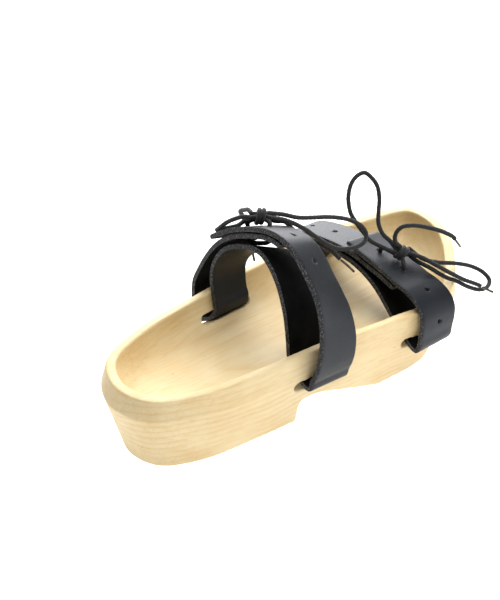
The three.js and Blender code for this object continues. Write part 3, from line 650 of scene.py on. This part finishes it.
FRONT_STRAP = dict(
    base=168.5, lean=0.1, skew=0,
    rows=[
        (-3.5, 68.4, -0.5, -3.5), (5, 66.2, 0, -3.5), (16.3, 63.8, 0.5, -3.5),
        (27.7, 61.5, 1, -3.2), (38.2, 58.7, 0.8, -2.8), (47.6, 56.6, 0.7, -2.2),
        (55.4, 52.9, 1.2, -1.6), (60.6, 47.1, 1.4, -1.2), (62.3, 39.8, 1.3, -1),
        (62.6, 32.4, 0.9, -0.8), (62.6, 26.8, 0.9, -0.6), (60.8, 23.8, 0.8, -0.4),
        in_slot("front_outer", -1.4, 0), in_slot("front_outer", 4, 0), in_slot("front_outer", 9, 0),
        in_slot("front_outer", 14, 0),
        (40.2, 36, 0.5, 0), (33.8, 41.6, 0.5, -2), (25, 48.6, 0.5, -4.5), (16.4, 53.3, 0.5, -6.5),
        (7.6, 56.4, 0, -7.5), (-1.2, 58, 0, -8), (-10.5, 58.3, 0, -8), (-20.5, 56.4, -0.5, -7),
        (-30, 51.2, -0.5, -5), (-37.4, 43.8, -0.5, -2.5), (-40, 38.2, 0, -0.6),
        in_slot("front_inner", 10.8, 0.3), in_slot("front_inner", 7, 0), in_slot("front_inner", 1, 0),
        in_slot("front_inner", -3.4, 0), in_slot("front_inner", -6.6, 1.6),
        (-61.3, 31.5, -1, -0.4), (-61.9, 39, -1, -0.8), (-59.4, 47, -1.2, -1.6),
        (-52.4, 54, -1.2, -2.4), (-42, 58.4, -1, -3), (-30.4, 60.9, -0.8, -3.3),
        (-17, 62.4, -0.6, -3.5), (-5, 62.8, -0.2, -3.6), (4.4, 62.2, 0, -3.6),
        (15.4, 60, 0.4, -3.5), (26.8, 57.7, 0.9, -3.2), (36.6, 54.9, 1.2, -2.8),
    ],
    pitch=20, from_top=15.6, top_count=4, from_under=23.2, under_count=4,
)
print("rows:", len(REAR_STRAP["rows"]), "and", len(FRONT_STRAP["rows"]))

# %% Strap surfaces
EDGE_ROUNDING = 0.4
ACROSS = 16
CORNER = 4
RING_STEP = 1.1
NEAR = 0.4
END_THICKNESS = 0.72
EDGE_SHOWS = 0.12


def with_run(strap):
    """The strap's rows with the distance run so far as first column."""
    rows = np.array(strap["rows"], float)
    return np.column_stack([run_along(rows[:, :2]), rows])


def strap_edges(strap, table, run):
    """Rear and front edge of the strip's middle layer. The rear edge lies in a leaning plane, and
    the front edge is one strap width away from it."""
    x, z, dx, dz = smooth(table, run).T
    lean = strap["lean"] * (z - FOOTBED_Z)
    skew = strap["skew"] * (x - SLOTS["rear_outer"]["x"])
    y = strap["base"] + lean + skew
    dy = np.sqrt(STRAP_WIDTH**2 - dx**2 - dz**2)
    return np.stack([x, y, z], axis=1), np.stack([x + dx, y + dy, z + dz], axis=1)


def strap_frame(strap, table, run):
    """Edges, and the unit normal that points to the leather's outer side."""
    rear, front = strap_edges(strap, table, run)
    r0, f0 = strap_edges(strap, table, np.maximum(run - NEAR, 0))
    r1, f1 = strap_edges(strap, table, np.minimum(run + NEAR, table[-1, 0]))
    normal = np.cross(r1 + f1 - r0 - f0, front - rear)
    return rear, front, normal / np.linalg.norm(normal, axis=1)[:, None]


def strip_section():
    """The closed outline of the strip's section in two columns: share of the width from the rear
    edge, and height from the middle layer. It runs along the outer side, round the front edge,
    back along the inner side and round the rear edge. Corners are quarter circles."""
    half = LEATHER / 2
    r = EDGE_ROUNDING
    turn = np.linspace(0, math.pi / 2, CORNER)
    flat = np.linspace(r, STRAP_WIDTH - r, ACROSS)[1:-1]
    outer = np.column_stack([flat, np.full(len(flat), half)])
    front = np.column_stack([STRAP_WIDTH - r + r * np.sin(turn), half - r + r * np.cos(turn)])
    rear = np.column_stack([r - r * np.sin(turn), r - half - r * np.cos(turn)])
    upper = np.vstack([outer, front])
    outline = np.vstack([upper, upper[::-1] * [1, -1], rear, rear[::-1] * [1, -1]])
    return outline[:, 0] / STRAP_WIDTH, outline[:, 1]


def strap_piece(name, strap):
    """The strip as a closed mesh: point(run, k) = rear + share_k (front - rear) + height_k normal.
    The leather is a little thinner and softer at its two ends."""
    table = with_run(strap)
    end = table[-1, 0]
    run = np.linspace(0, end, int(end / RING_STEP))
    rear, front, normal = strap_frame(strap, table, run)
    share, height = strip_section()
    soft = np.sqrt(np.clip(np.minimum(run, end - run) / EDGE_ROUNDING, 0, 1))
    thick = (END_THICKNESS + (1 - END_THICKNESS) * soft)[:, None, None]
    points = (
        rear[:, None, :]
        + share[None, :, None] * (front - rear)[:, None, :]
        + height[None, :, None] * thick * normal[:, None, :]
    )
    around = len(share)
    rings = len(run)
    piece = new_object(name, to_part(points.reshape(-1, 3)), lidded(rings, around))
    dress(piece, strap_side_of_faces(height, rings))
    return piece, table


def dress(piece, sides):
    """Give a piece the leather's three finishes and each face its own."""
    for finish in LEATHER_SIDES:
        piece.data.materials.append(finish)
    piece.data.polygons.foreach_set("material_index", sides)


def strap_side_of_faces(height, rings):
    """Material by face: 0 the outer grain side, 1 the inner flesh side, 2 the cut edges."""
    mid = (height + np.roll(height, -1)) / 2
    level = LEATHER / 2 - EDGE_SHOWS
    side = np.where(mid > level, 0, np.where(mid < -level, 1, 2))
    return np.concatenate([np.tile(side, rings - 1), [2, 2]]).astype(int).tolist()


print("section of", len(strip_section()[0]), "points")

# %% Holes
HOLE = 3.4
HOLE_SIDES = 20
LACED = (0, 1)
# how far a punch reaches to either side of the strip's middle layer: one layer, or both
ONE_LAYER = (LEATHER / 2 + 0.7, LEATHER / 2 + 0.5)
BOTH_LAYERS = (LEATHER / 2 + 0.7, 2 * LEATHER + 1.6)
# a hole of the lower layer that is nearer than this to a laced one is the same hole
SAME_HOLE = 2 * LACE + 2


def place_on(strap, table, run):
    """The strip's middle and its normal at one run."""
    rear, front, normal = strap_frame(strap, table, np.array([run]))
    return (rear[0] + front[0]) / 2, normal[0]


def punches(strap, table):
    """Round cutters through the holes, and the places of the laced ones."""
    end = table[-1, 0]
    spots = []
    for i in range(strap["top_count"]):
        place = place_on(strap, table, strap["from_top"] + i * strap["pitch"])
        spots.append((*place, BOTH_LAYERS if i in LACED else ONE_LAYER))
    laced = [spots[i][:2] for i in LACED]
    for i in range(strap["under_count"]):
        place = place_on(strap, table, end - strap["from_under"] - i * strap["pitch"])
        if min(np.linalg.norm(place[0] - middle) for middle, _ in laced) > SAME_HOLE:
            spots.append((*place, ONE_LAYER))
    points = np.empty((0, 3))
    faces = []
    for middle, normal, (above, below) in spots:
        path = np.array([middle + normal * above, middle - normal * below])
        rings = rings_round(path, np.full((2, HOLE_SIDES), HOLE / 2), HOLE_SIDES)
        first = len(points)
        points = np.vstack([points, rings.reshape(-1, 3)])
        faces += lidded(2, HOLE_SIDES, first)
    cutter = new_object("punches", to_part(points), faces)
    dress(cutter, [2] * len(cutter.data.polygons))
    return cutter, laced


print("holes", HOLE, "mm wide")

# %% The two straps
straps = {}
laced_places = {}
for key, strap in (("rear", REAR_STRAP), ("front", FRONT_STRAP)):
    piece, table = strap_piece(f"{key}_strap_leather", strap)
    cutter, laced_places[key] = punches(strap, table)
    cut(piece, cutter)
    shade_smooth(piece)
    straps[key] = piece
    print(piece.name, len(piece.data.polygons), "faces, strip", round(float(table[-1, 0])), "mm")

# %% [markdown]
# Under the strap the lace crosses from one hole to the other. Its two legs come up through both
# layers and bend over into the knot. It could be left out, because little of it shows, but a lace
# that ends in a hole looks cut.

# %% Crossings
CROSSING_DEPTH = {"rear": 7.9, "front": 8.2}
# from the knot's middle, each leg starts at this share of the way to its hole
IN_KNOT = 0.35


def crossing(centre, places, depth):
    """The lace's route from the knot down one hole, across and up the other: heights along the
    hole and shifts towards the other hole, as in the part."""
    (a, na), (b, nb) = places
    across = (b - a) / np.linalg.norm(b - a)
    over = [(4.2, 1.2), (3.2, 0.1), (1.8, 0), (-3, 0)]
    under = [(0.9 - depth, 0), (0.4 - depth, 1), (-depth, 2.8)]
    leg_a = [a + na * rise + across * shift for rise, shift in over + under]
    leg_b = [b + nb * rise - across * shift for rise, shift in over + under]
    into = [centre + (leg[0] - centre) * IN_KNOT for leg in (leg_a, leg_b)]
    return [into[0], *leg_a, *leg_b[::-1], into[1]]


bars = {}
for key, centre in KNOTS.items():
    route = crossing(np.array(centre), laced_places[key], CROSSING_DEPTH[key])
    bars[key] = tubes(f"{key}_lace_crossing", [through(route, CORD_STEP)], LACE)
    print(bars[key].name, len(bars[key].data.polygons), "faces")

# %% [markdown]
# The sole is one carved block. It could be sculpted, but a profile carried round a line keeps its
# rim even, as a carver's template does. Seen from above the rim is a closed curve through sixteen
# points. The profile goes from the bottom edge out to a band, up to the rim, over the rim's
# rounded top and down a quarter-round wall into the footbed, whose floor then runs in to a line
# down the middle. What a saw and a drill take away afterwards is cut with solids.

# %% Sole tables
RIM_OUTLINE = [
    (0, -1.5), (21.7, 5.3), (35.2, 27.9), (42.3, 64.7), (47.5, 109.2), (53.9, 154.4), (57.7, 196.3),
    (33.5, 233.4), (6.1, 253.5), (-23.8, 254.4), (-42.2, 221.7), (-53.1, 179.9), (-46, 129.5),
    (-40.4, 79.8), (-35.3, 37.9), (-22.8, 8.1),
]
# Along the foot: y, rim top, rim width, height of the band, tuck of the bottom edge, floor
ALONG = [
    (0, 49.2, 5.6, 10.8, 5.1, 33), (50, 49.8, 5.3, 12, 5, 31.4), (105, 50.1, 5, 13.4, 4.7, 30.4),
    (150, 48.3, 5.2, 12, 4.6, 28.8), (183, 47.6, 5.6, 11.2, 7.6, 28.4),
    (215, 49.9, 6.2, 11.2, 11, 30.8), (262, 58, 6.8, 11.2, 14, 39),
]
# How far the band's lower edge stands out past the rim, by share of the way round
BAND_FLARE = [(0, 4), (0.1, 1.9), (0.27, 0.8), (0.42, 2), (0.6, 4.2), (0.88, 1.8), (1, 4)]
SPINE = [(45, 1), (110, 2), (165, 1), (210, -2)]
RIM_ROUNDING = 0.8
WALL_WIDTH = 12
FLOOR_SAG = 1.2
HEEL_FRONT = 90.5
ARCH_END = 152.5
ARCH_TOP = 16.8
TREAD_END = 161
TOE_END = 262
TOE_ROCKER_RADIUS = 280
STATIONS = 360
RIM_STEP = 0.2
TANGENT_REACH = 3
UP_THE_SIDE = (0, 0.25, 0.5, 0.75)
DOWN_THE_WALL = (0.03, 0.1, 0.2, 0.33, 0.5, 0.7, 0.9, 1)
TO_THE_SPINE = (0.15, 0.3, 0.45, 0.6, 0.75, 0.88, 0.96)
ROUNDING_TURNS = np.linspace(0, math.pi / 2, 4)
print("rim", ALONG[0][1], "mm high at the heel,", ALONG[-1][1], "mm at the toe")


# %% Sole block
def along(y):
    """Rim top, rim width, band, tuck and floor at places along the foot."""
    return smooth(ALONG, y).T


def sole_block():
    """Rings of points round the rim, each a push outwards and a height, from the bottom edge over
    the rim to the footbed, then rings that shrink towards the spine line."""
    outline = np.column_stack([np.array(RIM_OUTLINE, float), np.zeros(len(RIM_OUTLINE))])
    rim = through(outline, RIM_STEP, closed=True)[:-1]
    pick = np.linspace(0, len(rim), STATIONS, endpoint=False).astype(int)
    tangent = np.roll(rim, -TANGENT_REACH, axis=0) - np.roll(rim, TANGENT_REACH, axis=0)
    tangent /= np.linalg.norm(tangent, axis=1)[:, None]
    out = np.column_stack([tangent[:, 1], -tangent[:, 0]])[pick]
    at = rim[pick, :2]
    top, width, band, tuck, _ = along(at[:, 1])
    flare = smooth(BAND_FLARE, np.arange(STATIONS) / STATIONS)[:, 0]
    rings = []

    def ring(push, height):
        rings.append(np.column_stack([at + out * push[:, None], height]))

    for share in UP_THE_SIDE:
        ring(-tuck + share * (flare + tuck), share * (top - band))
    for share in UP_THE_SIDE:
        ring(flare * (1 - share), top - band + share * (band - RIM_ROUNDING))
    rim_edges = np.zeros(STATIONS), -width
    for edge, inward, turns in zip(rim_edges, (1, -1), (ROUNDING_TURNS, ROUNDING_TURNS[::-1])):
        for turn in turns:
            push = edge - inward * RIM_ROUNDING * (1 - math.cos(turn))
            ring(push, top - RIM_ROUNDING * (1 - math.sin(turn)))
    for share in DOWN_THE_WALL:
        ring(-width - share * WALL_WIDTH, top)
        rim_top, _, _, _, floor = along(rings[-1][:, 1])
        lift = 1 - math.sqrt(1 - (1 - share) ** 2)
        rings[-1][:, 2] = floor + (rim_top - RIM_ROUNDING - floor) * lift
    foot = rings[-1]
    y = np.clip(foot[:, 1], SPINE[0][0], SPINE[-1][0])
    spine = np.column_stack([smooth(SPINE, y)[:, 0], y])
    for share in TO_THE_SPINE:
        place = foot[:, :2] + share * (spine - foot[:, :2])
        ease = share * share * (3 - 2 * share)
        rings.append(np.column_stack([place, along(place[:, 1])[4] - FLOOR_SAG * ease]))
    faces = ring_faces(len(rings), STATIONS)
    faces.append(list(range(STATIONS))[::-1])
    # the last ring is a narrow loop: its two sides are joined across, like a zip
    last = (len(rings) - 1) * STATIONS
    for i in range(STATIONS // 2):
        a, b = last + i, last + (i + 1) % STATIONS
        c, d = last + STATIONS - i - 1, last + (STATIONS - i) % STATIONS
        faces.append([k for n, k in enumerate((a, b, c, d)) if k not in (a, b, c, d)[:n]])
    faces = [face for face in faces if len(face) > 2]
    return new_object("sole_carved", to_part(np.vstack(rings)), faces)


sole = sole_block()
print("block of", len(sole.data.polygons), "faces")

# %% [markdown]
# A saw takes the arch from the underside and rounds the toe's lower side, and a cutter mills the
# four slanted slots. These could be in the profile, but a cut with a solid keeps its edges crisp
# and its shape easy to change.

# %% Saw and drill
BAR_REACH = 90
BELOW = -5
BEND_POINTS = 6
TOE_POINTS = 24
SLOT_POINTS = 12
SLOT_OUTSIDE = 12
SLOT_INSIDE = 22


def prism(name, near, far):
    """A closed solid between two outlines with the same number of points."""
    return new_object(name, to_part(np.vstack([near, far])), lidded(2, len(near)))


def bar_across(outline):
    """A solid bar across the sole from a closed outline of (y, z) points."""
    side = np.full(len(outline), BAR_REACH)
    return prism("bar", np.column_stack([-side, outline]), np.column_stack([side, outline]))


def bend(a, b, c):
    """Points of a quadratic curve from a towards b to c."""
    t = np.linspace(0, 1, BEND_POINTS)[:, None]
    a, b, c = (np.array(p, float) for p in (a, b, c))
    return ((1 - t) ** 2 * a + 2 * t * (1 - t) * b + t**2 * c).tolist()


def arch_cutter():
    """The arch seen from the side: up the heel's front, along the top and down to the tread."""
    h = HEEL_FRONT
    outline = [(h, BELOW), (h, 0)]
    outline += bend((h + 0.6, ARCH_TOP - 4), (h + 0.8, ARCH_TOP), (h + 5, ARCH_TOP))
    outline += bend((h + 9, ARCH_TOP), (h + 16, ARCH_TOP - 0.6), (h + 22, ARCH_TOP - 3.4))
    outline += bend((ARCH_END - 5, 1.5), (ARCH_END - 1.5, 0.3), (ARCH_END, 0))
    return bar_across(outline + [(ARCH_END + 1, BELOW)])


def toe_cutter():
    """The toe's lower side: z = d squared over twice the radius, d the distance from the tread."""
    y = np.linspace(TREAD_END, TOE_END + 20, TOE_POINTS)
    z = (y - TREAD_END) ** 2 / (2 * TOE_ROCKER_RADIUS)
    return bar_across([(TREAD_END - 1, BELOW), *zip(y, z), (TOE_END + 20, BELOW)])


def slot_cutter(slot):
    """A stadium carried along the slot's slanted way."""
    half = SLOT_HEIGHT / 2
    run = slot["length"] / 2 - half
    turn = np.linspace(-math.pi / 2, math.pi / 2, SLOT_POINTS)
    right = np.column_stack([run + half * np.cos(turn), half * np.sin(turn)])
    shape = np.vstack([right, -right])
    side = slot["side"]
    inward = np.array([-side * math.cos(SLOT_RISE), 0, math.sin(SLOT_RISE)])
    up = np.array([side * math.sin(SLOT_RISE), 0, math.cos(SLOT_RISE)])
    lip = np.array([side * slot["x"], slot["rear"] + slot["length"] / 2, slot["z"]])
    base = lip + shape[:, :1] * [0, 1, 0] + shape[:, 1:] * up
    return prism("slot", base - SLOT_OUTSIDE * inward, base + SLOT_INSIDE * inward)


def outward(piece):
    """Turn a closed mesh's faces outwards."""
    work = bmesh.new()
    work.from_mesh(piece.data)
    bmesh.ops.recalc_face_normals(work, faces=work.faces)
    work.to_mesh(piece.data)
    work.free()
    return piece


outward(sole)
cutters = [arch_cutter(), toe_cutter(), *[slot_cutter(slot) for slot in SLOTS.values()]]
for cutter in cutters:
    cut(sole, outward(cutter))
print("after", len(cutters), "cuts:", len(sole.data.polygons), "faces")

# %% [markdown]
# The cut block is then sanded, which rounds every edge by about a millimetre. A bevel would fail
# on the cuts' ragged faces, so the block is remade as an even net of small faces, smoothed a
# little and thinned.

# %% Sand the sole
SAND_GRID = 0.7
SAND_STRENGTH = 0.5
SAND_PASSES = 4
MOST_TRIANGLES = 170000
net = sole.modifiers.new("net", "REMESH")
net.mode = "VOXEL"
net.voxel_size = SAND_GRID * MM
sand = sole.modifiers.new("sand", "SMOOTH")
sand.factor = SAND_STRENGTH
sand.iterations = SAND_PASSES
baked(sole)
thin = sole.modifiers.new("thin", "DECIMATE")
thin.ratio = MOST_TRIANGLES / (2 * len(sole.data.polygons))
baked(sole)
shade_smooth(sole)
print("sole", len(sole.data.polygons), "faces", [round(d, 4) for d in sole.dimensions])

# %% Put the finishes on
sole.data.materials.clear()
sole.data.materials.append(wood)
for piece in [*cords.values(), *knots.values(), *bars.values()]:
    piece.data.materials.append(lace_finish)
for piece in tips.values():
    piece.data.materials.append(tip_finish)
print("materials on", 1 + len(straps) + len(cords) + len(knots) + len(bars) + len(tips), "pieces")

# %% [markdown]
# Every piece rides on the shoe's one body and stands for its solid in the part, which is hidden.
# Pieces with the same finish share one material, so that a finish can be changed in one place.

# %% Join the pieces to the part
SLOTTED = [
    ("pale_wood", {"sole": sole}),
    ("black_leather", {f"{key}_strap": piece for key, piece in straps.items()}),
    ("black_lace", {f"{key}_lace_bar": piece for key, piece in bars.items()}),
    ("black_lace", {f"{key}_lace_knot": piece for key, piece in knots.items()}),
    ("black_lace", cords),
    ("lace_tip", tips),
]
for slot_name, pieces in SLOTTED:
    for solid, piece in pieces.items():
        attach(piece, "root")
        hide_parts(solid)
    print(slot_name, list(pieces))

# %% [markdown]
# The loops and the ends of the bows are soft on the real shoe. Each cord's route is put in the
# part's frame here, but it is not kept or passed on.

# %% The free cords' routes in the part's frame
for name, piece in cords.items():
    path = to_part(paths[name])
print(len(cords), "cords declared")

# %% [markdown]
# The photograph was taken on white under soft studio light: a large light above and behind the
# shoe makes the rim and the strap's top glow, one overhead and one at the toe's outer side fill
# in, and a narrow beam from above the camera reaches the footbed between the straps. The floor
# glows faintly, so that it stays white where no light falls. A picture of a studio could light
# the scene too, but lamps are easier to move.

# %% Stage
FLOOR_SIZE = 6.0
half = FLOOR_SIZE / 2
corners = [(-half, -half, 0), (half, -half, 0), (half, half, 0), (-half, half, 0)]
floor = new_object("floor", corners, [(0, 1, 2, 3)])
paper_look = {
    "Base Color": linear("#e1e1e1"),
    "Roughness": 0.9,
    "Emission Color": linear("#ffffff"),
    "Emission Strength": 0.85,
}
floor.data.materials.append(finished(new_material("white_paper")[0], paper_look))

world = bpy.data.worlds.new("white_room")
world.use_nodes = True
background = world.node_tree.nodes["Background"]
background.inputs["Color"].default_value = (0.92, 0.96, 1, 1)
background.inputs["Strength"].default_value = 0.15
bpy.context.scene.world = world
print("floor", FLOOR_SIZE, "m wide")

# %% Lights
SHOE_AT = (0, 0, 0.04)


def aimed(name, kind, power, at, target):
    """A light at one place that looks at another, and its data."""
    data = bpy.data.lights.new(name, kind)
    data.energy = power
    light = in_scene(name, data)
    light.location = at
    light.rotation_euler = (Vector(target) - Vector(at)).to_track_quat("-Z", "Y").to_euler()
    return data


# of each large light: name, watts, place and size
for name, power, at, size in (
    ("behind", 50, (-1.0, 0.86, 0.8), 1.5),
    ("overhead", 14, (0.3, 0.22, 1.35), 1.1),
    ("side", 4.5, (1.1, 0.9, 0.5), 0.8),
):
    aimed(name, "AREA", power, at, SHOE_AT).size = size
beam = aimed("front_of_footbed", "SPOT", 40, (0.35, -0.3, 1.3), (0.0, 0.075, 0.04))
beam.spot_size = math.radians(13)
beam.spot_blend = 1.0
beam.shadow_soft_size = 0.2
bpy.context.scene.view_settings.view_transform = "Standard"
bpy.context.scene.view_settings.look = "None"
print("lights:", [light.name for light in bpy.data.lights])
